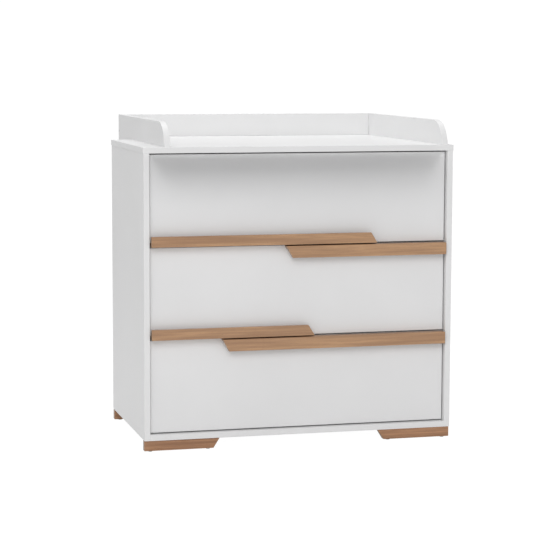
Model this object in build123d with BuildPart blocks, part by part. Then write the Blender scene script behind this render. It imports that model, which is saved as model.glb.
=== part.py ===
from build123d import *
import os
from math import asin, degrees, sqrt

# A nursery dresser with three drawers and an open changing tray on top.
# Millimetres.  +Z is up, the drawers open towards -Y, and the origin is on the
# floor under the middle of the whole object's box.

# ---- driving dimensions -------------------------------------------------------
BODY_WIDTH = 980.0          # over the two side panels
BODY_DEPTH = 552.0          # front edges to rear edge of the top
BODY_HEIGHT = 891.0         # underside of the bottom panel to the top surface
BOARD = 18.0                # laminated chipboard
TOP_OVERHANG = 1.5          # of the top past each side panel
EDGE = 1.0                  # rounding of the boards' edge bands

FOOT_HEIGHT = 34.0          # with its glide
FOOT_LENGTH = 236.0         # along its top edge
FOOT_SLANT = 20.0           # how much shorter the foot is at the floor
FOOT_THICKNESS = 20.0
FOOT_SETBACK = 6.0
GLIDE_HEIGHT = 2.0
GLIDE_RADIUS = 7.0

TRAY_WIDTH = 900.0
TRAY_DEPTH = 777.0
TRAY_HEIGHT = 75.0
TRAY_SHIFT = 25.5           # the tray sits this far right of the dresser's middle
TRAY_SETBACK = 8.0          # behind the dresser's front edges
TRAY_NOSE_RADIUS = 90.0     # the sweep at the front of each side wall
TRAY_BOARD_GAP = 1.0        # between the top and the board behind it

FRONT_HEIGHTS = (283.0, 278.0, 278.0)        # bottom, middle and top drawer
GAP = 4.0                   # above and below every drawer front
SIDE_GAP = 3.5              # beside every drawer front
FRONT_RECESS = 16.0         # drawer fronts behind the dresser's front edges
FRONT_EDGE = 0.8

LOW_BAR_HEIGHT = 32.0       # bars on the lower edge of a front
HIGH_BAR_HEIGHT = 37.0      # bars on the upper edge of a front
BAR_DEPTH = 28.0
BAR_SLANT = 20.0
BAR_OVERLAP = 291.0         # of an upper and a lower bar, between their tips
BAR_EDGE = 1.8
GRIP_WIDTH = 14.0           # finger groove behind the bar's lip
GRIP_BASE = 12.0            # solid wood beside the groove, where the bar is screwed on
UPPER_OVERLAP_X = 97.0      # middle of the overlap between drawers 2 and 3
LOWER_OVERLAP_X = -103.0    # middle of the overlap between drawers 1 and 2

BOX_BOARD = 16.0            # drawer sides and back
BOX_DEPTH = 480.0
BOX_HEIGHT = 200.0
BOX_LIFT = 14.0             # box above the lower edge of its front
BOX_BACK_DROP = 12.0        # the back stands this much lower than the sides
SHEET = 3.0                 # hardboard of the drawer bottoms and the dresser's back
SHEET_GROOVE = 8.0          # how deep the drawer bottom sits in its boards
SHEET_LIFT = 12.0           # drawer bottom above the lower edge of the sides
SHEET_PLAY = 0.2

RAIL_LENGTH = 450.0
RAIL_START = 37.0           # behind the dresser's front edges
RAIL_SPACE = 12.7           # between a side panel and a drawer
RAIL_STEEL = 1.2
RAIL_LIFT = 72.0            # rail's middle above the lower edge of the drawer front
OUTER_HALF = 22.5           # half heights of the three nested rails
MIDDLE_HALF = 20.4
INNER_HALF = 18.0

STRETCHER_HEIGHT = 80.0
CAM_RADIUS = 7.5
CAM_LENGTH = 12.5
CAM_DISTANCE = 34.0         # from the joint to the cam's middle
CAM_BOLT_RADIUS = 3.5
CAM_BOLT_BITE = 11.0        # into the board that the bolt is screwed to
DOWEL_RADIUS = 4.0
DOWEL_SHORT_END = 11.0
DOWEL_LONG_END = 19.0
CAM_INSET = 60.0            # of the corner joints' cams from the front and rear edges
DOWEL_INSET = 180.0

# every kind of screw: length, shank radius, head radius
FOOT_SCREW = (44.0, 2.2, 4.4)    # up through the foot into the bottom panel
TRAY_SCREW = (50.0, 2.2, 4.4)
WALL_SCREW = (60.0, 2.5, 5.0)
BRACKET_SCREW = (16.0, 1.9, 3.6)
BAR_SCREW = (30.0, 1.9, 3.8)
BOX_SCREW = (50.0, 2.5, 5.0)
BORE_PLAY = 0.15            # radial, around every fastener

FOOT_SCREW_X = (310.0, 430.0)
GLIDE_X = (290.0, 470.0)
WALL_SCREW_HEIGHT = 20.0    # above the changing surface
BOX_SCREW_INSET = 50.0
BAR_SCREW_SHARES = (0.12, 0.5, 0.88)

BRACKET_WIDTH = 40.0
BRACKET_LEG = 60.0
BRACKET_STEEL = 3.0
BRACKET_X = 250.0
BRACKET_SCREW_REACH = 42.0  # from the bracket's corner
BRACKET_SCREW_SPREAD = 10.0
BACK_INSET = 6.0            # back panel inside the dresser's outline

# ---- positions worked out from them ---------------------------------------------
BAR_PROUD = BAR_DEPTH - FRONT_RECESS
TOTAL_DEPTH = BAR_PROUD + TRAY_SETBACK + TRAY_DEPTH
FRONT = BAR_PROUD - TOTAL_DEPTH / 2          # Y of the dresser's front edges
REAR = FRONT + BODY_DEPTH
CARCASS_REAR = REAR - SHEET                  # rear edge of sides and bottom
HALF = BODY_WIDTH / 2
INNER = HALF - BOARD                         # inner face of each side panel
BASE = FOOT_HEIGHT                           # underside of the bottom panel
FLOOR = BASE + BOARD                         # upper face of the bottom panel
TOP = BASE + BODY_HEIGHT                     # the changing surface
UNDER_TOP = TOP - BOARD

TRAY_LEFT = TRAY_SHIFT - TRAY_WIDTH / 2
TRAY_RIGHT = TRAY_SHIFT + TRAY_WIDTH / 2
TRAY_FRONT = FRONT + TRAY_SETBACK
TRAY_REAR = TRAY_FRONT + TRAY_DEPTH

FRONT_HALF = INNER - SIDE_GAP
FRONT_FACE = FRONT + FRONT_RECESS            # outer face of the drawer fronts
FRONT_BACK = FRONT_FACE + BOARD
BOX_HALF = INNER - RAIL_SPACE                # outer face of each drawer side
BOX_INNER = BOX_HALF - BOX_BOARD
BOX_REAR = FRONT_BACK + BOX_DEPTH
NAMES = ("bottom", "middle", "top")

SIDES = (("left", -1), ("right", 1))
parts = []


def both_ways(distances):
    """The same distances to the left and to the right of the middle."""
    return [side * distance for _, side in SIDES for distance in distances]


def finish(builder, label):
    """Label a finished sub-part and keep it for export."""
    builder.part.label = label
    parts.append(builder.part)
    return builder.part


def board(label, x, y, z, edge=EDGE, cut=()):
    """A flat board between low and high corners, its edges eased, its bores cut."""
    with BuildPart() as piece:
        with BuildSketch(Plane.XY.offset(z[0])):
            with Locations(((x[0] + x[1]) / 2, (y[0] + y[1]) / 2)):
                Rectangle(x[1] - x[0], y[1] - y[0])
        extrude(amount=z[1] - z[0])
        if edge:
            fillet(piece.edges(), radius=edge)
        for bore in cut:
            add(bore, mode=Mode.SUBTRACT)
    return finish(piece, label)


def front_view(points, y_low, y_high):
    """A prism whose outline is given in X and Z, between two values of Y."""
    with BuildPart() as prism:
        with BuildSketch(Plane.XZ.offset(-y_high)):
            with BuildLine():
                Polyline(*points, close=True)
            make_face()
        extrude(amount=y_high - y_low)
    return prism


# ---- fasteners ----------------------------------------------------------------
def screw(length, radius, head_radius, play=0.0):
    """A countersunk screw down the -Z axis, its head flush with Z = 0."""
    head = head_radius - radius
    with BuildPart() as piece:
        with BuildSketch(Plane.XZ):
            with BuildLine():
                Polyline(
                    (0, 0),
                    (head_radius + play, 0),
                    (radius + play, -head),
                    (radius + play, -length + radius),
                    (0, -length - play),
                    close=True,
                )
            make_face()
        revolve(axis=Axis.Z)
        if not play:
            with BuildSketch(Plane.XY):
                RegularPolygon(radius, 6)
            extrude(amount=-head * 0.6, mode=Mode.SUBTRACT)
    return piece.part


def cam_fitting(play=0.0):
    """A cam and its bolt: the joint is at Z = 0, the cam's face at X = BOARD / 2."""
    rim = CAM_DISTANCE - CAM_RADIUS - BORE_PLAY - 0.1
    with BuildPart() as piece:
        with BuildSketch(Plane.XY.offset(-CAM_BOLT_BITE - play)):
            Circle(CAM_BOLT_RADIUS + play)
        extrude(amount=CAM_BOLT_BITE + rim + 2 * play)
        with BuildSketch(Plane.YZ.offset(BOARD / 2 - CAM_LENGTH - play)):
            with Locations((0, CAM_DISTANCE)):
                Circle(CAM_RADIUS + play)
        extrude(amount=CAM_LENGTH + play)
        if not play:
            with BuildSketch(Plane.YZ.offset(BOARD / 2)):
                with Locations((0, CAM_DISTANCE)):
                    Rectangle(CAM_RADIUS, 1.6)
                    Rectangle(1.6, CAM_RADIUS)
            extrude(amount=-2.5, mode=Mode.SUBTRACT)
    return piece.part


def dowel(play=0.0):
    """A beech dowel across a joint at Z = 0."""
    with BuildPart() as piece:
        with BuildSketch(Plane.XY.offset(-DOWEL_SHORT_END - play)):
            Circle(DOWEL_RADIUS + play)
        extrude(amount=DOWEL_SHORT_END + DOWEL_LONG_END + 2 * play)
        if not play:
            chamfer(piece.edges(), length=0.8)
    return piece.part


def group(piece, places):
    """One sub-part made of the same piece at several places."""
    with BuildPart() as copies:
        with Locations(*places):
            add(piece)
    return copies


def facing(x, y, z, outward, across=(1, 0, 0)):
    """A place whose +Z looks outward."""
    return Plane(origin=(x, y, z), x_dir=across, z_dir=outward).location


# ---- carcass ------------------------------------------------------------------
def side_joints(ys):
    """Places of the joints between the sides, the top and the bottom panel."""
    places = []
    for _, side in SIDES:
        inward = (-side, 0, 0)
        for y in ys:
            places.append(facing(side * (HALF - BOARD / 2), y, UNDER_TOP, (0, 0, -1), inward))
            places.append(facing(side * INNER, y, BASE + BOARD / 2, inward, (0, 0, -1)))
    return places


def stretcher_joints():
    """Places of the joints between the sides and the rear stretcher."""
    y = CARCASS_REAR - BOARD / 2
    z = UNDER_TOP - STRETCHER_HEIGHT / 2
    return [facing(side * INNER, y, z, (-side, 0, 0), (0, -1, 0)) for _, side in SIDES]


def foot_centre(end):
    """Y of the middle of the feet at the front (-1) or the rear (1)."""
    if end < 0:
        return FRONT + FOOT_SETBACK + FOOT_THICKNESS / 2
    return REAR - FOOT_SETBACK - FOOT_THICKNESS / 2


def carcass():
    """Top, sides, bottom, stretcher and back, with the fittings that join them."""
    cam_places = side_joints((FRONT + CAM_INSET, CARCASS_REAR - CAM_INSET))
    cam_places += stretcher_joints()
    dowel_places = side_joints((FRONT + DOWEL_INSET, CARCASS_REAR - DOWEL_INSET))
    cam_bores = group(cam_fitting(BORE_PLAY), cam_places).part
    dowel_bores = group(dowel(BORE_PLAY), dowel_places).part
    joints = (cam_bores, dowel_bores)
    finish(group(cam_fitting(), cam_places), "cam_fittings")
    finish(group(dowel(), dowel_places), "wood_dowels")

    foot_places = []
    for end in (-1, 1):
        for x in both_ways(FOOT_SCREW_X):
            foot_places.append(facing(x, foot_centre(end), GLIDE_HEIGHT, (0, 0, -1)))
    foot_bores = group(screw(*FOOT_SCREW, BORE_PLAY), foot_places).part
    finish(group(screw(*FOOT_SCREW), foot_places), "foot_screws")

    top_half = HALF + TOP_OVERHANG
    tray_bores = group(screw(*TRAY_SCREW, BORE_PLAY), tray_floor_places()).part
    board("top_panel", (-top_half, top_half), (FRONT, REAR), (UNDER_TOP, TOP),
          cut=joints + (tray_bores,))
    for name, side in SIDES:
        x = sorted((side * INNER, side * HALF))
        board(name + "_side_panel", x, (FRONT, CARCASS_REAR), (BASE, UNDER_TOP), cut=joints)
    board("bottom_panel", (-INNER, INNER), (FRONT, CARCASS_REAR), (BASE, FLOOR),
          cut=joints + (foot_bores,))
    board("rear_stretcher", (-INNER, INNER), (CARCASS_REAR - BOARD, CARCASS_REAR),
          (UNDER_TOP - STRETCHER_HEIGHT, UNDER_TOP), cut=joints + (bracket_bores(),))
    board("back_panel", (-HALF + BACK_INSET, HALF - BACK_INSET), (CARCASS_REAR, REAR),
          (BASE + BACK_INSET, UNDER_TOP), edge=0, cut=(bracket_bores(),))
    feet(foot_bores)


def feet(bores):
    """Four boards on edge, square at the outer end and slanted at the inner end."""
    for end_name, end in (("front", -1), ("rear", 1)):
        y = foot_centre(end)
        for name, side in SIDES:
            outer = side * HALF
            outline = (
                (outer, BASE),
                (outer, GLIDE_HEIGHT),
                (outer - side * (FOOT_LENGTH - FOOT_SLANT), GLIDE_HEIGHT),
                (outer - side * FOOT_LENGTH, BASE),
            )
            low = y - FOOT_THICKNESS / 2
            with BuildPart() as foot:
                add(front_view(outline, low, low + FOOT_THICKNESS).part)
                fillet(foot.edges(), radius=1.5)
                add(bores, mode=Mode.SUBTRACT)
            finish(foot, f"{end_name}_{name}_foot")

    with BuildPart() as glides:
        with BuildSketch():
            for end in (-1, 1):
                with Locations(*[(x, foot_centre(end)) for x in both_ways(GLIDE_X)]):
                    Circle(GLIDE_RADIUS)
        extrude(amount=GLIDE_HEIGHT)
        chamfer(glides.faces().group_by(Axis.Z)[0].edges(), length=0.5)
    finish(glides, "foot_glides")


# ---- changing tray ---------------------------------------------------------------
def tray_floor_places():
    """Screws up into the tray walls, through the top and the board behind it."""
    places = []
    for x in (TRAY_LEFT + BOARD / 2, TRAY_RIGHT - BOARD / 2):
        for y in (FRONT + 110, FRONT + 300, REAR - 62, REAR + 60, TRAY_REAR - 60):
            places.append(facing(x, y, UNDER_TOP, (0, 0, -1)))
    return places


def back_wall_places():
    """Screws up into the tray's back wall, through the board under it."""
    y = TRAY_REAR - BOARD / 2
    xs = (TRAY_LEFT + 200, TRAY_SHIFT, TRAY_RIGHT - 200)
    return [facing(x, y, UNDER_TOP, (0, 0, -1)) for x in xs]


def wall_end_places():
    """Screws through the side walls into the ends of the back wall."""
    y = TRAY_REAR - BOARD / 2
    z = TOP + WALL_SCREW_HEIGHT
    return [
        facing(TRAY_LEFT, y, z, (-1, 0, 0), (0, 1, 0)),
        facing(TRAY_RIGHT, y, z, (1, 0, 0), (0, 1, 0)),
    ]


def bracket_places():
    """Short screws through the brackets, up into the board and into the stretcher."""
    places = []
    for middle in both_ways((BRACKET_X,)):
        for x in (middle - BRACKET_SCREW_SPREAD, middle + BRACKET_SCREW_SPREAD):
            y = REAR + BRACKET_SCREW_REACH
            z = UNDER_TOP - BRACKET_SCREW_REACH
            places.append(facing(x, y, UNDER_TOP - BRACKET_STEEL, (0, 0, -1)))
            places.append(facing(x, REAR + BRACKET_STEEL, z, (0, 1, 0)))
    return places


def bracket_bores():
    """Room for the bracket screws in the boards and the brackets."""
    return group(screw(*BRACKET_SCREW, BORE_PLAY), bracket_places()).part


def tray_wall(label, x_low, cut):
    """A side wall whose front end sweeps down in an arc."""
    top = TOP + TRAY_HEIGHT
    below = TRAY_NOSE_RADIUS - TRAY_HEIGHT           # arc's centre under the wall
    reach = sqrt(TRAY_NOSE_RADIUS**2 - below**2)
    sweep = 90 - degrees(asin(below / TRAY_NOSE_RADIUS))
    with BuildPart() as wall:
        with BuildSketch(Plane.YZ.offset(x_low)):
            with BuildLine():
                nose = CenterArc((TRAY_FRONT + reach, TOP - below), TRAY_NOSE_RADIUS, 90, sweep)
                Polyline(nose @ 1, (TRAY_REAR, TOP), (TRAY_REAR, top), nose @ 0)
            make_face()
        extrude(amount=BOARD)
        raised = wall.edges().filter_by(lambda edge: edge.center().Z > TOP + EDGE)
        fillet(raised, radius=EDGE)
        for bore in cut:
            add(bore, mode=Mode.SUBTRACT)
    finish(wall, label)


def tray():
    """Three walls around the changing surface and the board that carries them behind."""
    up_places = tray_floor_places() + back_wall_places()
    up_bores = group(screw(*TRAY_SCREW, BORE_PLAY), up_places).part
    end_bores = group(screw(*WALL_SCREW, BORE_PLAY), wall_end_places()).part

    bores = (up_bores, end_bores)
    tray_wall("tray_left_wall", TRAY_LEFT, bores)
    tray_wall("tray_right_wall", TRAY_RIGHT - BOARD, bores)
    board("tray_back_wall", (TRAY_LEFT + BOARD, TRAY_RIGHT - BOARD),
          (TRAY_REAR - BOARD, TRAY_REAR), (TOP, TOP + TRAY_HEIGHT), cut=bores)
    board("tray_rear_board", (TRAY_LEFT, TRAY_RIGHT), (REAR + TRAY_BOARD_GAP, TRAY_REAR),
          (UNDER_TOP, TOP), cut=(up_bores, bracket_bores()))

    with BuildPart() as screws:
        with Locations(*up_places):
            add(screw(*TRAY_SCREW))
        with Locations(*wall_end_places()):
            add(screw(*WALL_SCREW))
        with Locations(*bracket_places()):
            add(screw(*BRACKET_SCREW))
    finish(screws, "tray_screws")
    brackets()


def brackets():
    """Two steel angles between the dresser's back and the board behind the top."""
    with BuildPart() as angle:
        with BuildSketch(Plane.YZ.offset(-BRACKET_WIDTH / 2)):
            with BuildLine():
                Polyline(
                    (REAR, UNDER_TOP),
                    (REAR + BRACKET_LEG, UNDER_TOP),
                    (REAR + BRACKET_LEG, UNDER_TOP - BRACKET_STEEL),
                    (REAR + BRACKET_STEEL, UNDER_TOP - BRACKET_STEEL),
                    (REAR + BRACKET_STEEL, UNDER_TOP - BRACKET_LEG),
                    (REAR, UNDER_TOP - BRACKET_LEG),
                    close=True,
                )
            make_face()
        extrude(amount=BRACKET_WIDTH)
    with BuildPart() as pair:
        with Locations(*[(x, 0, 0) for x in both_ways((BRACKET_X,))]):
            add(angle.part)
        add(bracket_bores(), mode=Mode.SUBTRACT)
    finish(pair, "tray_brackets")


# ---- runners -------------------------------------------------------------------
def rail(label, side, z, web, tip, half):
    """A channel along Y: its web and flange tips are measured from the side panel."""
    inside = web + RAIL_STEEL if tip > web else web - RAIL_STEEL
    profile = (
        (web, half),
        (tip, half),
        (tip, half - RAIL_STEEL),
        (inside, half - RAIL_STEEL),
        (inside, RAIL_STEEL - half),
        (tip, RAIL_STEEL - half),
        (tip, -half),
        (web, -half),
    )
    outline = [(side * (INNER - u), z + v) for u, v in profile]
    low = FRONT + RAIL_START
    finish(front_view(outline, low, low + RAIL_LENGTH), label)


def runners(name, lower_edge):
    """Three nested rails on each side of a drawer."""
    z = lower_edge + RAIL_LIFT
    for hand, side in SIDES:
        rail(f"{name}_{hand}_outer_rail", side, z, 0, 10.5, OUTER_HALF)
        rail(f"{name}_{hand}_middle_rail", side, z, 2.4, 10.5, MIDDLE_HALF)
        rail(f"{name}_{hand}_inner_rail", side, z, RAIL_SPACE, 5.0, INNER_HALF)


# ---- drawers -------------------------------------------------------------------
def bar_screws(lower_edge, upper_edge, bars):
    """Places of the screws through a drawer front into its handle bars."""
    places = []
    for low_side, x_from, x_to in bars:
        z = lower_edge + GRIP_BASE / 2 if low_side else upper_edge - GRIP_BASE / 2
        for share in BAR_SCREW_SHARES:
            places.append(facing(x_from + share * (x_to - x_from), FRONT_BACK, z, (0, 1, 0)))
    return places


def handle_bar(label, edge, low_side, x_from, x_to, bores):
    """A bar on the lower or the upper edge of a front, slanted at its inner end.

    The slant always leans the same way, and the finger groove opens away from
    the neighbouring bar: upwards on a lower edge, downwards on an upper edge.
    """
    if low_side:
        inner = edge + LOW_BAR_HEIGHT
        outline = (
            (x_from, edge),
            (x_to, edge),
            (x_to - BAR_SLANT, inner),
            (x_from, inner),
        )
        groove = (edge + GRIP_BASE, inner)
    else:
        inner = edge - HIGH_BAR_HEIGHT
        outline = (
            (x_from + BAR_SLANT, inner),
            (x_to, inner),
            (x_to, edge),
            (x_from, edge),
        )
        groove = (inner, edge - GRIP_BASE)
    bar_front = FRONT_FACE - BAR_DEPTH
    with BuildPart() as bar:
        add(front_view(outline, bar_front, FRONT_FACE).part)
        outer = bar.edges().filter_by(lambda line: line.center().Y < FRONT_FACE - BAR_EDGE)
        fillet(outer, radius=BAR_EDGE)
        with BuildSketch(Plane.YZ.offset(x_from)):
            with Locations((FRONT_FACE - GRIP_WIDTH / 2, sum(groove) / 2)):
                Rectangle(GRIP_WIDTH, groove[1] - groove[0])
        extrude(amount=x_to - x_from, mode=Mode.SUBTRACT)
        add(bores, mode=Mode.SUBTRACT)
    finish(bar, label)


def drawer(index, bars):
    """A front with its bars, two sides, a back and a hardboard bottom."""
    name = NAMES[index] + "_drawer"
    lower = FLOOR + GAP + index * GAP + sum(FRONT_HEIGHTS[:index])
    upper = lower + FRONT_HEIGHTS[index]
    low = lower + BOX_LIFT
    high = low + BOX_HEIGHT
    sheet_low = low + SHEET_LIFT

    handle_places = bar_screws(lower, upper, [bar[1:] for bar in bars])
    handle_bores = group(screw(*BAR_SCREW, BORE_PLAY), handle_places).part
    box_places = []
    for _, side in SIDES:
        for z in (low + BOX_SCREW_INSET, high - BOX_SCREW_INSET):
            box_places.append(
                facing(side * BOX_HALF, BOX_REAR - BOX_BOARD / 2, z, (side, 0, 0), (0, 1, 0))
            )
    box_bores = group(screw(*BOX_SCREW, BORE_PLAY), box_places).part

    with BuildPart() as room:
        with BuildSketch(Plane.XY.offset(sheet_low - SHEET_PLAY)):
            with Locations((0, (FRONT_BACK + BOX_REAR) / 2)):
                Rectangle(2 * (BOX_INNER + SHEET_GROOVE), BOX_DEPTH + 2)
        extrude(amount=SHEET + 2 * SHEET_PLAY)

    board(name + "_front", (-FRONT_HALF, FRONT_HALF), (FRONT_FACE, FRONT_BACK),
          (lower, upper), edge=FRONT_EDGE, cut=(handle_bores,))
    for hand, side in SIDES:
        x = sorted((side * BOX_INNER, side * BOX_HALF))
        board(f"{name}_{hand}_side", x, (FRONT_BACK, BOX_REAR), (low, high),
              edge=0, cut=(room.part, box_bores))
    board(name + "_back", (-BOX_INNER, BOX_INNER), (BOX_REAR - BOX_BOARD, BOX_REAR),
          (sheet_low + SHEET + SHEET_PLAY, high - BOX_BACK_DROP), edge=0, cut=(box_bores,))
    sheet_half = BOX_INNER + SHEET_GROOVE - 0.5
    board(name + "_bottom", (-sheet_half, sheet_half), (FRONT_BACK, BOX_REAR),
          (sheet_low, sheet_low + SHEET), edge=0)

    for label, low_side, x_from, x_to in bars:
        edge = lower if low_side else upper
        handle_bar(label, edge, low_side, x_from, x_to, handle_bores)
    with BuildPart() as screws:
        with Locations(*handle_places):
            add(screw(*BAR_SCREW))
        with Locations(*box_places):
            add(screw(*BOX_SCREW))
    finish(screws, name + "_screws")
    runners(NAMES[index], lower)


def drawers():
    """All drawers; the bars on both sides of a gap overlap and mirror each other."""
    reach = BAR_OVERLAP / 2
    bars = (
        [("bottom_drawer_handle", False, LOWER_OVERLAP_X - reach, FRONT_HALF)],
        [
            ("middle_drawer_lower_handle", True, -FRONT_HALF, LOWER_OVERLAP_X + reach),
            ("middle_drawer_upper_handle", False, UPPER_OVERLAP_X - reach, FRONT_HALF),
        ],
        [("top_drawer_handle", True, -FRONT_HALF, UPPER_OVERLAP_X + reach)],
    )
    for index in range(len(FRONT_HEIGHTS)):
        drawer(index, bars[index])


carcass()
tray()
drawers()

os.makedirs("parts", exist_ok=True)
for part in parts:
    export_step(part, f"parts/{part.label}.step")
print(f"{len(parts)} sub-parts written")
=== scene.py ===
import math

import bmesh
import bpy
from mathutils import Matrix, Vector


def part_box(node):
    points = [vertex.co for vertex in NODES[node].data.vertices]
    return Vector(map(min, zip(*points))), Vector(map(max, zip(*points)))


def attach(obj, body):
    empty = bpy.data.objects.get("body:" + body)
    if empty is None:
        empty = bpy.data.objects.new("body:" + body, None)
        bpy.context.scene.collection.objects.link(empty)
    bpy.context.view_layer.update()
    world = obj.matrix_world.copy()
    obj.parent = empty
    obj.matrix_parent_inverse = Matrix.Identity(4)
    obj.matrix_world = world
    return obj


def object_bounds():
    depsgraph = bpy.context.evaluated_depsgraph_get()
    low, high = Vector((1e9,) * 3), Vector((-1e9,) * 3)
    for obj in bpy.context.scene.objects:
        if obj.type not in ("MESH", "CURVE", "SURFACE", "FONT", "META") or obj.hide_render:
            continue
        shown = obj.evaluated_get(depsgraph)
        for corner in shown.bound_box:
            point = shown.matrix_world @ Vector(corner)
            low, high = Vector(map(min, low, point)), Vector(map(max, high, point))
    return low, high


# Looks, light and camera for a nursery dresser with three drawers and a changing tray.
# Metres.  +Z is up, the drawers open towards -Y, and the floor is at Z = 0.

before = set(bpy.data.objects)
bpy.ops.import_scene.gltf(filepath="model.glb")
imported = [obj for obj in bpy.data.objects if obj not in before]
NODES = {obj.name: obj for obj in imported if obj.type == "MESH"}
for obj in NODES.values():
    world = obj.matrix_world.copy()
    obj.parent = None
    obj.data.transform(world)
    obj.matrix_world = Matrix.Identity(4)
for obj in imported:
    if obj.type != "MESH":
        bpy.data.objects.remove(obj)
CAD_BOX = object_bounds()
DRAWERS = ("bottom", "middle", "top")
SIDES = (("left", -1), ("right", 1))
MM = 0.001

# ---- the camera, from the middle of the dresser's front at its underside ------------
CAMERA_OFFSET = Vector((-1.5418, -5.4869, 1.1613))
CAMERA_YAW = math.radians(14.738)        # towards +X
CAMERA_PITCH = math.radians(6.512)       # downwards
CAMERA_ROLL = math.radians(0.179)
CAMERA_LENS = 124.545                    # for a sensor 36 mm wide
CAMERA_SENSOR = 36.0

# ---- light ---------------------------------------------------------------------------
SKY = 0.545
OVERHEAD_PLACE = Vector((0, 0.75, 3.3))
OVERHEAD_SIZE = (3.0, 1.8)
OVERHEAD_POWER = 33.5
KEY_OFFSET = Vector((-2.1, -4.8, 3.4))   # from the middle of the dresser's front
KEY_SIZE = (3.4, 3.0)
KEY_POWER = 116.0
FLAG_REACH = 0.134                       # in front of the dresser
FLAG_SHADE = 0.17                        # what its dark underside still gives
FLAG_GLOW = 0.7                          # what its upper face gives
BOUNCE = 0.75                            # how much of its light the unseen floor gives back
BOUNCE_GLOW = 0.15
FLOOR_GLOW = 0.97
BACKDROP_GLOW = 1.05

# ---- finishes -----------------------------------------------------------------------
WHITE_BOARD = (0.86, 0.86, 0.862)
WHITE_FRONT = (0.855, 0.855, 0.86)
WHITE_BOX = (0.84, 0.84, 0.835)
BEECH_LIGHT = (0.555, 0.323, 0.171)
BEECH_DARK = (0.385, 0.213, 0.114)
# painted highlight: the lighter tone laid along the beech edges
BEECH_EDGE_HIGHLIGHT = (0.62, 0.40, 0.25)
BEECH_PORE = (0.24, 0.11, 0.06)
BEECH_END_AND_SHADE = (0.29, 0.185, 0.115)         # where the grain is cut across, darkened further as painted shade on the end faces
# the feet's beech: the bars' beech made darker, partly for deeper streaks and partly as painted
# shade for the feet under the dresser
FOOT_LIGHT_SHADED = (0.52, 0.27, 0.14)
FOOT_DARK_SHADED = (0.32, 0.158, 0.077)
DOWEL = (0.62, 0.43, 0.27)
STEEL = (0.62, 0.63, 0.64)
CAST_ZINC = (0.5, 0.5, 0.5)
GLIDE_BROWN = (0.035, 0.028, 0.024)
PLASTIC_BLACK = (0.03, 0.03, 0.032)
WORN_WHITE = (0.80, 0.79, 0.77)

# ---- fine pieces ---------------------------------------------------------------------
# a profile's points are a radius and a height above the surface it sits on
NAIL_INSET = 6 * MM                      # from the edge of the back panel
NAIL_COLUMNS = 9
NAIL_ROWS = 8
NAIL_PROFILE = (
    (3.0 * MM, -0.1 * MM),
    (3.0 * MM, 0.25 * MM),
    (2.2 * MM, 0.7 * MM),
    (0.8 * MM, 0.95 * MM),
)
PAN_PROFILE = (
    (3.6 * MM, -0.1 * MM),
    (3.6 * MM, 0.8 * MM),
    (2.6 * MM, 1.7 * MM),
    (1.0 * MM, 2.0 * MM),
)
RAIL_STEEL = 1.2 * MM
RUNNER_SCREW_SHARES = (0.3, 0.62, 0.93)  # along the rail
LEVER_START = 30 * MM                    # behind the front end of the rail
LEVER_DEPTH = 4.5 * MM
LEVER_OUTLINE = (                        # along the rail and up
    (0.0, 0.003),
    (0.012, 0.009),
    (0.022, 0.006),
    (0.06, 0.004),
    (0.06, -0.004),
    (0.022, -0.006),
    (0.012, -0.011),
    (0.0, -0.009),
)


# ---- node trees -----------------------------------------------------------------------
def add(tree, kind, inputs=None, **settings):
    """A new node; each of its inputs is a plain value or another node's output."""
    made = tree.nodes.new("ShaderNode" + kind)
    for name, value in settings.items():
        setattr(made, name, value)
    for name, value in (inputs or {}).items():
        if isinstance(value, bpy.types.NodeSocket):
            tree.links.new(value, made.inputs[name])
        else:
            made.inputs[name].default_value = value
    return made


def stretched(tree, scale=(1, 1, 1), shift=(0, 0, 0)):
    """The object's own coordinates in metres, scaled along each axis."""
    place = add(tree, "TexCoord").outputs["Object"]
    inputs = {"Vector": place, "Scale": scale, "Location": shift}
    return add(tree, "Mapping", inputs).outputs["Vector"]


def noise(tree, place, scale, detail=2.0, roughness=0.5):
    """Smooth noise from 0 to 1."""
    inputs = {"Vector": place, "Scale": scale, "Detail": detail, "Roughness": roughness}
    return add(tree, "TexNoise", inputs).outputs["Fac"]


def remap(tree, value, low, high, new_low, new_high):
    """The range low to high of a value, spread over a new range and held there."""
    inputs = {"Value": value, "From Min": low, "From Max": high}
    inputs |= {"To Min": new_low, "To Max": new_high}
    return add(tree, "MapRange", inputs).outputs["Result"]


def shades(tree, value, *stops):
    """A colour ramp; each stop is a position and a colour."""
    ramp = add(tree, "ValToRGB", {"Fac": value})
    elements = ramp.color_ramp.elements
    for index, (position, colour) in enumerate(stops):
        element = elements[index] if index < 2 else elements.new(position)
        element.position = position
        element.color = (*colour, 1)
    return ramp.outputs["Color"]


def mixed(tree, share, first, second):
    """The first colour where share is 0, the second where it is 1."""
    made = tree.nodes.new("ShaderNodeMix")
    made.data_type = "RGBA"
    for index, value in ((0, share), (6, first), (7, second)):
        if isinstance(value, bpy.types.NodeSocket):
            tree.links.new(value, made.inputs[index])
        else:
            made.inputs[index].default_value = value if index == 0 else (*value, 1)
    return made.outputs[2]


def product(tree, first, second):
    """Two values multiplied."""
    made = add(tree, "Math", {0: first, 1: second}, operation="MULTIPLY")
    return made.outputs["Value"]


def bumps(tree, *layers):
    """Bump layers, finest last: each has a height, its depth in metres and a strength."""
    normal = None
    for height, depth, strength in layers:
        inputs = {"Height": height, "Distance": depth, "Strength": strength}
        if normal:
            inputs["Normal"] = normal
        normal = add(tree, "Bump", inputs).outputs["Normal"]
    return normal


def edges(tree, radius):
    """1 on a convex or hollow edge within the radius, 0 on flat faces."""
    rounded = add(tree, "Bevel", {"Radius": radius}, samples=4).outputs["Normal"]
    flat = add(tree, "NewGeometry").outputs["Normal"]
    facing = add(tree, "VectorMath", {0: rounded, 1: flat}, operation="DOT_PRODUCT")
    return remap(tree, facing.outputs["Value"], 0.995, 0.8, 0.0, 1.0)


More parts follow.
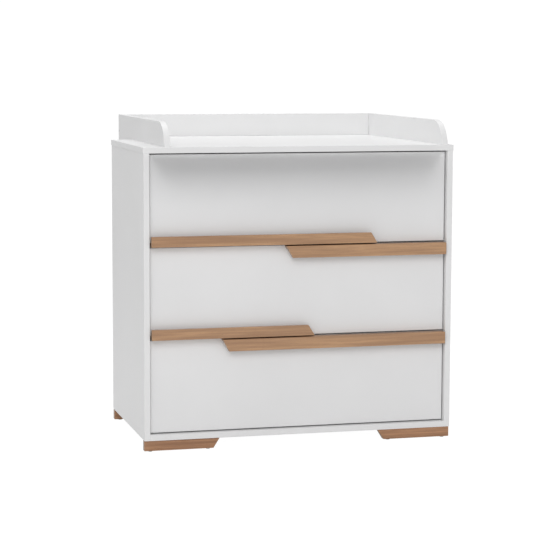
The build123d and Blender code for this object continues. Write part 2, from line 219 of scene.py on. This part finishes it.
def end_grain(tree):
    """1 on faces across the X axis, where the grain is cut, 0 along it."""
    normal = add(tree, "NewGeometry").outputs["Normal"]
    along = add(tree, "SeparateXYZ", {"Vector": normal}).outputs["X"]
    size = add(tree, "Math", {0: along}, operation="ABSOLUTE").outputs["Value"]
    return remap(tree, size, 0.7, 0.95, 0.0, 1.0)


def finish(name, tree_maker, metallic=0.0, coat=0.0):
    """A material whose colour, roughness and normal come from tree_maker."""
    made = bpy.data.materials.new(name)
    made.use_nodes = True
    tree = made.node_tree
    shader = tree.nodes["Principled BSDF"]
    shader.inputs["Metallic"].default_value = metallic
    shader.inputs["Coat Weight"].default_value = coat
    shader.inputs["Coat Roughness"].default_value = 0.2
    colour, roughness, normal = tree_maker(tree)
    tree.links.new(colour, shader.inputs["Base Color"])
    tree.links.new(roughness, shader.inputs["Roughness"])
    tree.links.new(normal, shader.inputs["Normal"])
    return made


# ---- materials ------------------------------------------------------------------------
def laminate(name, white, satin):
    """Melamine board: a fine pearl in the surface, faint cloudiness, worn edges."""

    def tree_maker(tree):
        cloud = noise(tree, stretched(tree), 5.0, 4.0)
        pearl = noise(tree, stretched(tree), 1500.0, 2.0)
        wave = noise(tree, stretched(tree), 38.0, 2.0)
        dull = tuple(0.982 * c for c in white)
        colour = shades(tree, cloud, (0.35, dull), (0.65, white))
        worn = product(tree, edges(tree, 1.2 * MM), remap(tree, wave, 0.45, 0.7, 0.0, 0.5))
        colour = mixed(tree, worn, colour, WORN_WHITE)
        roughness = remap(tree, cloud, 0.3, 0.7, satin, satin + 0.08)
        normal = bumps(tree, (wave, 0.03 * MM, 0.25), (pearl, 0.03 * MM, 0.25))
        return colour, roughness, normal

    return finish(name, tree_maker)


def beech(name, seed, light, dark):
    """Oiled beech, its grain along X: pale growth layers, fine streaks, short flecks, a painted
    highlight on the edges and darker end faces that are partly painted shade.
    """

    def tree_maker(tree):
        shift = (0.37 * seed, 0.11 * seed, 0.23 * seed)
        layer = noise(tree, stretched(tree, (3, 100, 100), shift), 1.0, 3.0, 0.5)
        streak = noise(tree, stretched(tree, (11, 230, 230), shift), 1.0, 4.0, 0.65)
        fleck = noise(tree, stretched(tree, (220, 1500, 1500), shift), 1.0, 1.0)
        colour = shades(tree, layer, (0.37, dark), (0.63, light))
        colour = mixed(tree, remap(tree, streak, 0.45, 0.62, 0.0, 0.6), colour, dark)
        colour = mixed(tree, remap(tree, fleck, 0.64, 0.74, 0.0, 0.5), colour, BEECH_PORE)
        # painted highlight: the edges lightened where their rounding would catch the light
        edge_highlight = product(tree, edges(tree, 1.5 * MM), remap(tree, streak, 0.3, 0.7, 0.55, 0.2))
        colour = mixed(tree, edge_highlight, colour, BEECH_EDGE_HIGHLIGHT)
        # darker end grain, which also serves as painted shade on the end faces
        colour = mixed(tree, end_grain(tree), colour, BEECH_END_AND_SHADE)
        roughness = remap(tree, streak, 0.3, 0.7, 0.34, 0.48)
        normal = bumps(tree, (streak, 0.05 * MM, 0.4), (fleck, 0.04 * MM, 0.3))
        return colour, roughness, normal

    return finish(name, tree_maker, coat=0.4)


def hardboard(name, white):
    """Thin painted fibre board: a close sieve texture under the paint."""

    def tree_maker(tree):
        cloud = noise(tree, stretched(tree), 9.0, 3.0)
        fibre = noise(tree, stretched(tree), 700.0, 3.0)
        dull = tuple(0.96 * c for c in white)
        colour = shades(tree, cloud, (0.3, dull), (0.7, white))
        roughness = remap(tree, fibre, 0.3, 0.7, 0.5, 0.64)
        return colour, roughness, bumps(tree, (fibre, 0.06 * MM, 0.4))

    return finish(name, tree_maker)


def dowel_wood():
    """Plain unfinished beech with its grain along Z."""

    def tree_maker(tree):
        line = noise(tree, stretched(tree, (900, 900, 20)), 1.0, 3.0)
        dark = tuple(0.75 * c for c in DOWEL)
        colour = shades(tree, line, (0.3, dark), (0.7, DOWEL))
        roughness = remap(tree, line, 0.3, 0.7, 0.6, 0.75)
        return colour, roughness, bumps(tree, (line, 0.1 * MM, 0.4))

    return finish("dowel_beech", tree_maker)


def metal(name, colour, rough, along=(1, 1, 1)):
    """Zinc-plated steel or cast zinc: faint rolling lines and dull patches."""

    def tree_maker(tree):
        line = noise(tree, stretched(tree, along), 900.0, 2.0)
        patch = noise(tree, stretched(tree), 60.0, 3.0)
        dull = tuple(0.78 * c for c in colour)
        shade = shades(tree, patch, (0.3, dull), (0.7, colour))
        roughness = remap(tree, patch, 0.3, 0.7, rough, rough + 0.16)
        return shade, roughness, bumps(tree, (line, 0.02 * MM, 0.3))

    return finish(name, tree_maker, metallic=1.0)


def moulded(name, colour):
    """Moulded plastic with a fine spark-eroded texture."""

    def tree_maker(tree):
        spark = noise(tree, stretched(tree), 1800.0, 2.0)
        cloud = noise(tree, stretched(tree), 80.0, 2.0)
        light = tuple(1.3 * c for c in colour)
        shade = shades(tree, cloud, (0.3, colour), (0.7, light))
        roughness = remap(tree, cloud, 0.3, 0.7, 0.42, 0.55)
        return shade, roughness, bumps(tree, (spark, 0.03 * MM, 0.4))

    return finish(name, tree_maker)


def wear(node_names, material):
    """Give CAD nodes one material."""
    for name in node_names:
        NODES[name].data.materials.clear()
        NODES[name].data.materials.append(material)


def dress_nodes():
    """Every CAD node's material, by what the piece is made of."""
    board = laminate("white_laminate_board", WHITE_BOARD, 0.42)
    front = laminate("white_laminate_front", WHITE_FRONT, 0.38)
    box = laminate("white_laminate_box", WHITE_BOX, 0.5)
    sheet = hardboard("white_hardboard_sheet", WHITE_BOX)
    zinc = metal("zinc_plate", STEEL, 0.3)
    rolled = metal("rolled_steel", STEEL, 0.26, (6, 1, 6))
    wear(["top_panel", "left_side_panel", "right_side_panel", "bottom_panel",
          "rear_stretcher", "tray_left_wall", "tray_right_wall", "tray_back_wall",
          "tray_rear_board"], board)
    wear(["back_panel"], sheet)
    wear(["cam_fittings"], metal("cast_zinc", CAST_ZINC, 0.45))
    wear(["wood_dowels"], dowel_wood())
    wear(["foot_glides"], moulded("glide_plastic", GLIDE_BROWN))
    wear(["foot_screws", "tray_screws"], zinc)
    wear(["tray_brackets"], rolled)
    for name in DRAWERS:
        wear([f"{name}_drawer_front"], front)
        wear([f"{name}_drawer_{part}" for part in ("left_side", "right_side", "back")], box)
        wear([f"{name}_drawer_bottom"], sheet)
        wear([f"{name}_drawer_screws"], zinc)
        for hand, _ in SIDES:
            wear([f"{name}_{hand}_{rail}_rail" for rail in ("outer", "middle", "inner")], rolled)
    bars = sorted(name for name in NODES if name.endswith("_handle"))
    for seed, name in enumerate(bars, 1):
        wear([name], beech("beech_" + name, seed, BEECH_LIGHT, BEECH_DARK))
    # the feet wear the darker copy of the beech: deeper streaks plus painted shade
    feet = sorted(name for name in NODES if name.endswith("_foot"))
    for seed, name in enumerate(feet, 11):
        wear([name], beech("beech_" + name, seed, FOOT_LIGHT_SHADED, FOOT_DARK_SHADED))


# ---- fine pieces ------------------------------------------------------------------------
def turned(form, profile, place, steps=20):
    """A round solid about the place's +Z; its profile runs from foot to crown."""
    rings = []
    for radius, height in profile:
        angles = [math.tau * step / steps for step in range(steps)]
        ring = [Vector((radius * math.cos(a), radius * math.sin(a), height)) for a in angles]
        rings.append([form.verts.new(place @ point) for point in ring])
    form.faces.new(list(reversed(rings[0])))
    form.faces.new(rings[-1])
    for lower, upper in zip(rings, rings[1:]):
        for step in range(steps):
            after = (step + 1) % steps
            form.faces.new((lower[step], lower[after], upper[after], upper[step]))


def looking(place, outward):
    """A matrix at a place whose +Z points outward."""
    turn = Vector(outward).to_track_quat("Z", "Y").to_matrix().to_4x4()
    return Matrix.Translation(place) @ turn


def fitted(name, form, body, material):
    """A finished piece that rides on a CAD body, from a bmesh that it uses up."""
    bmesh.ops.recalc_face_normals(form, faces=form.faces)
    mesh = bpy.data.meshes.new(name)
    form.to_mesh(mesh)
    form.free()
    mesh.materials.append(material)
    made = bpy.data.objects.new(name, mesh)
    bpy.context.scene.collection.objects.link(made)
    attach(made, body)
    return made


def spread(low, high, count):
    """Evenly spaced values from low to high."""
    return [low + (high - low) * step / (count - 1) for step in range(count)]


def back_nails(material):
    """Domed nail heads around the edge of the back panel."""
    low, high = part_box("back_panel")
    left, right = low.x + NAIL_INSET, high.x - NAIL_INSET
    bottom, top = low.z + NAIL_INSET, high.z - NAIL_INSET
    places = [(x, high.y, z) for z in (bottom, top) for x in spread(left, right, NAIL_COLUMNS)]
    between = spread(bottom, top, NAIL_ROWS)[1:-1]
    places += [(x, high.y, z) for x in (left, right) for z in between]
    form = bmesh.new()
    for place in places:
        turned(form, NAIL_PROFILE, looking(place, (0, 1, 0)))
    fitted("back_panel_nails", form, "cabinet", material)


def rail_channel(name, hand, side):
    """An inner rail's box, and X of the face inside its channel."""
    low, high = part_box(f"{name}_{hand}_inner_rail")
    web = high.x if side < 0 else low.x
    return low, high, web + side * RAIL_STEEL


def runner_screws(name, material):
    """Pan-head screws through the inner rails into the drawer's sides."""
    form = bmesh.new()
    for hand, side in SIDES:
        low, high, face = rail_channel(name, hand, side)
        for share in RUNNER_SCREW_SHARES:
            place = (face, low.y + share * (high.y - low.y), (low.z + high.z) / 2)
            turned(form, PAN_PROFILE, looking(place, (side, 0, 0)))
    fitted(f"{name}_runner_screws", form, f"{name}_drawer", material)


def runner_levers(name, material):
    """The plastic levers in the inner rails that release the drawer."""
    form = bmesh.new()
    for hand, side in SIDES:
        low, high, face = rail_channel(name, hand, side)
        start = low.y + LEVER_START
        middle = (low.z + high.z) / 2
        outline = [(start + y, middle + z) for y, z in LEVER_OUTLINE]
        foot = [form.verts.new((face, y, z)) for y, z in outline]
        crown = [form.verts.new((face + side * LEVER_DEPTH, y, z)) for y, z in outline]
        form.faces.new(foot)
        form.faces.new(crown)
        for index, vertex in enumerate(foot):
            after = (index + 1) % len(foot)
            form.faces.new((vertex, foot[after], crown[after], crown[index]))
    made = fitted(f"{name}_runner_levers", form, f"{name}_drawer", material)
    soften(made, 0.6 * MM)


def soften(piece, width):
    """Round the sharp edges of a piece."""
    rounding = piece.modifiers.new("rounding", "BEVEL")
    rounding.width = width
    rounding.segments = 2
    rounding.limit_method = "ANGLE"
    rounding.angle_limit = math.radians(50)


def fine_pieces():
    """What the CAD leaves out, and rounded edges where it leaves them square."""
    zinc = metal("zinc_fastener", STEEL, 0.32)
    black = moulded("black_plastic", PLASTIC_BLACK)
    back_nails(zinc)
    soften(NODES["back_panel"], 0.3 * MM)
    for name in DRAWERS:
        runner_screws(name, zinc)
        runner_levers(name, black)
        for part in ("left_side", "right_side", "back"):
            soften(NODES[f"{name}_drawer_{part}"], 0.4 * MM)


# ---- camera and studio ----------------------------------------------------------------
def camera():
    """A long lens from the front left, a little above the dresser's top."""
    low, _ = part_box("left_side_panel")
    start = Vector((0, low.y, low.z))
    sight = Vector((math.sin(CAMERA_YAW) * math.cos(CAMERA_PITCH),
                    math.cos(CAMERA_YAW) * math.cos(CAMERA_PITCH),
                    -math.sin(CAMERA_PITCH)))
    right = Vector((math.cos(CAMERA_YAW), -math.sin(CAMERA_YAW), 0))
    up = right.cross(sight)
    turned = Matrix((right, up, -sight)).transposed()
    turned = turned @ Matrix.Rotation(CAMERA_ROLL, 3, "Z")
    lens = bpy.data.cameras.new("camera")
    lens.sensor_width = CAMERA_SENSOR
    lens.lens = CAMERA_LENS
    made = bpy.data.objects.new("camera", lens)
    made.matrix_world = Matrix.Translation(start + CAMERA_OFFSET) @ turned.to_4x4()
    bpy.context.scene.collection.objects.link(made)
    bpy.context.scene.camera = made


def softbox(name, place, target, size, power):
    """A soft rectangular lamp that looks at a target."""
    lamp = bpy.data.lights.new(name, "AREA")
    lamp.shape = "RECTANGLE"
    lamp.size, lamp.size_y = size
    lamp.energy = power
    lamp.cycles.use_multiple_importance_sampling = False   # so that the flag stops all of it
    made = bpy.data.objects.new(name, lamp)
    turn = (target - place).to_track_quat("-Z", "Y").to_matrix().to_4x4()
    made.matrix_world = Matrix.Translation(place) @ turn
    bpy.context.scene.collection.objects.link(made)


def paper(name, brightness, glow):
    """Matt studio paper; glow is the light it gives by itself."""
    made = bpy.data.materials.new(name)
    made.use_nodes = True
    shader = made.node_tree.nodes["Principled BSDF"]
    shader.inputs["Base Color"].default_value = (brightness, brightness, brightness, 1)
    shader.inputs["Roughness"].default_value = 1.0
    shader.inputs["Specular IOR Level"].default_value = 0.0
    shader.inputs["Emission Color"].default_value = (1, 1, 1, 1)
    shader.inputs["Emission Strength"].default_value = glow
    return made


def stage_piece(name, form, place, brightness=0.0, glow=0.0):
    """A piece of the studio, from a bmesh that it uses up."""
    mesh = bpy.data.meshes.new(name)
    form.to_mesh(mesh)
    form.free()
    mesh.materials.append(paper(name, brightness, glow))
    made = bpy.data.objects.new(name, mesh)
    made.location = place
    bpy.context.scene.collection.objects.link(made)
    return made


def unlit(piece):
    """Seen by the camera alone: it neither lights the object nor shades it."""
    piece.visible_diffuse = False
    piece.visible_glossy = False
    piece.visible_transmission = False
    piece.visible_shadow = False


def flat_square(half):
    """A square of the studio, lying flat."""
    form = bmesh.new()
    bmesh.ops.create_grid(form, x_segments=1, y_segments=1, size=half)
    return form


def flag():
    """A flag level with the top's underside shades the front from above.

    Its upper face glows like the sky and floor that it hides, so the top isn't shaded.
    """
    low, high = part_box("top_drawer_front")
    front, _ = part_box("left_side_panel")
    corners = (
        (low.x, 0),
        (high.x - 0.15 * FLAG_REACH, 0),
        (high.x - 0.75 * FLAG_REACH, -FLAG_REACH),
        (low.x - 0.1 * FLAG_REACH, -FLAG_REACH),
    )
    for name, lift, glow in (("flag_below", MM, FLAG_SHADE), ("flag_above", 2 * MM, FLAG_GLOW)):
        form = bmesh.new()
        form.faces.new([form.verts.new((x, y, 0)) for x, y in corners])
        side = stage_piece(name, form, (0, front.y, high.z + lift), 0.0, glow)
        side.visible_camera = False
        side.visible_glossy = False


def floor_and_backdrop():
    """A pale floor and backdrop for the camera, and an unseen floor for the light."""
    unlit(stage_piece("floor", flat_square(60.0), (0, 0, -0.5 * MM), 0.12, FLOOR_GLOW))
    shell = bmesh.new()
    bmesh.ops.create_icosphere(shell, subdivisions=4, radius=50.0)
    unlit(stage_piece("backdrop", shell, (0, 0, 0), 0.0, BACKDROP_GLOW))
    bounce = stage_piece("bounce_floor", flat_square(5.0), (0, 0, -2 * MM), BOUNCE, BOUNCE_GLOW)
    bounce.visible_camera = False


def lights():
    """A lamp above, a key lamp at the front left, the flag that shades it, an even sky."""
    low, high = CAD_BOX
    above = Vector((0, 0.2, high.z))
    front = Vector((0, low.y, 0.55 * high.z))
    softbox("overhead", OVERHEAD_PLACE, above, OVERHEAD_SIZE, OVERHEAD_POWER)
    softbox("key", front + KEY_OFFSET, front, KEY_SIZE, KEY_POWER)
    flag()
    world = bpy.data.worlds.new("studio")
    world.use_nodes = True
    sky = world.node_tree.nodes["Background"]
    sky.inputs["Color"].default_value = (1, 1, 1, 1)
    sky.inputs["Strength"].default_value = SKY
    bpy.context.scene.world = world
    bpy.context.scene.view_settings.view_transform = "Standard"


dress_nodes()
fine_pieces()
camera()
floor_and_backdrop()
lights()
